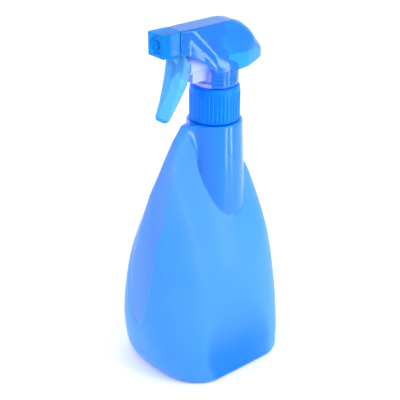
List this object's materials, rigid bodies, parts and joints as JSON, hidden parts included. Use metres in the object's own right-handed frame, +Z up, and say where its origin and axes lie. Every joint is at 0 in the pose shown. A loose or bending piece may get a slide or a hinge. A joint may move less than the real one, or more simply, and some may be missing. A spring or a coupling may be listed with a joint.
{
  "type": "trigger_spray_bottle",
  "caption": "Blue frosted plastic trigger spray bottle with ribbed closure, square nozzle cap and working trigger pump",
  "frame": {"origin": "where the neck's axis meets the plane the bottle stands on", "axes": "+Z up along the neck, the nozzle points along -Y, X is the width"},
  "size_m": [0.086, 0.1131, 0.2425],
  "materials": {
    "bottle_blue": "frosted translucent blow-moulded plastic",
    "closure_blue": "satin moulded plastic with fine ribs",
    "head_blue": "tinted translucent moulded plastic",
    "pump_white": "natural moulded plastic",
    "tube_clear": "extruded translucent tube",
    "seal_rubber": "soft elastomer",
    "spring_steel": "bright stainless steel"
  },
  "bodies": {
    "bottle": {"bottle": "bottle_blue"},
    "head": {"pump_body": "pump_white", "valve_holder": "pump_white", "dip_tube": "tube_clear", "neck_gasket": "seal_rubber", "shroud": "head_blue", "swirl_core": "pump_white", "nozzle_seal": "seal_rubber", "return_spring": "spring_steel"},
    "closure": {"collar": "closure_blue"},
    "trigger": {"trigger": "head_blue"},
    "piston": {"piston": "pump_white", "piston_seals": "seal_rubber"},
    "nozzle": {"nozzle_cap": "head_blue"},
    "inlet_ball": {"inlet_ball": "spring_steel"},
    "outlet_valve": {"outlet_valve": "seal_rubber"}
  },
  "joints": [
    {"name": "head_lift", "type": "slide", "parent": "bottle", "child": "head", "axis": [0, 0, 1], "range_m": [0, 0.2]},
    {"name": "collar_turn", "type": "hinge", "parent": "head", "child": "closure", "pos_m": [0, 0, 0.188], "axis": [0, 0, 1], "range_deg": [0, 450]},
    {"name": "trigger_pull", "type": "hinge", "parent": "head", "child": "trigger", "pos_m": [0, -0.028, 0.233], "axis": [1, 0, 0], "range_deg": [0, 22], "stiffness_Nm_per_rad": 0.9, "springref_deg": -17.19},
    {"name": "piston_stroke", "type": "slide", "parent": "head", "child": "piston", "axis": [0, 1, 0], "range_m": [0, 0.007], "deforming": ["return_spring"]},
    {"name": "nozzle_turn", "type": "hinge", "parent": "head", "child": "nozzle", "pos_m": [0, -0.041, 0.235], "axis": [0, 1, 0], "continuous": true},
    {"name": "inlet_ball_lift", "type": "slide", "parent": "head", "child": "inlet_ball", "axis": [0, 0, 1], "range_m": [0, 0.0012]},
    {"name": "outlet_valve_lift", "type": "slide", "parent": "head", "child": "outlet_valve", "axis": [0, -1, 0], "range_m": [0, 0.0005], "stiffness_N_per_m": 50}
  ],
  "couplings": [
    {"joint": "piston_stroke", "follows": "trigger_pull", "m_per_rad": 0.016}
  ]
}
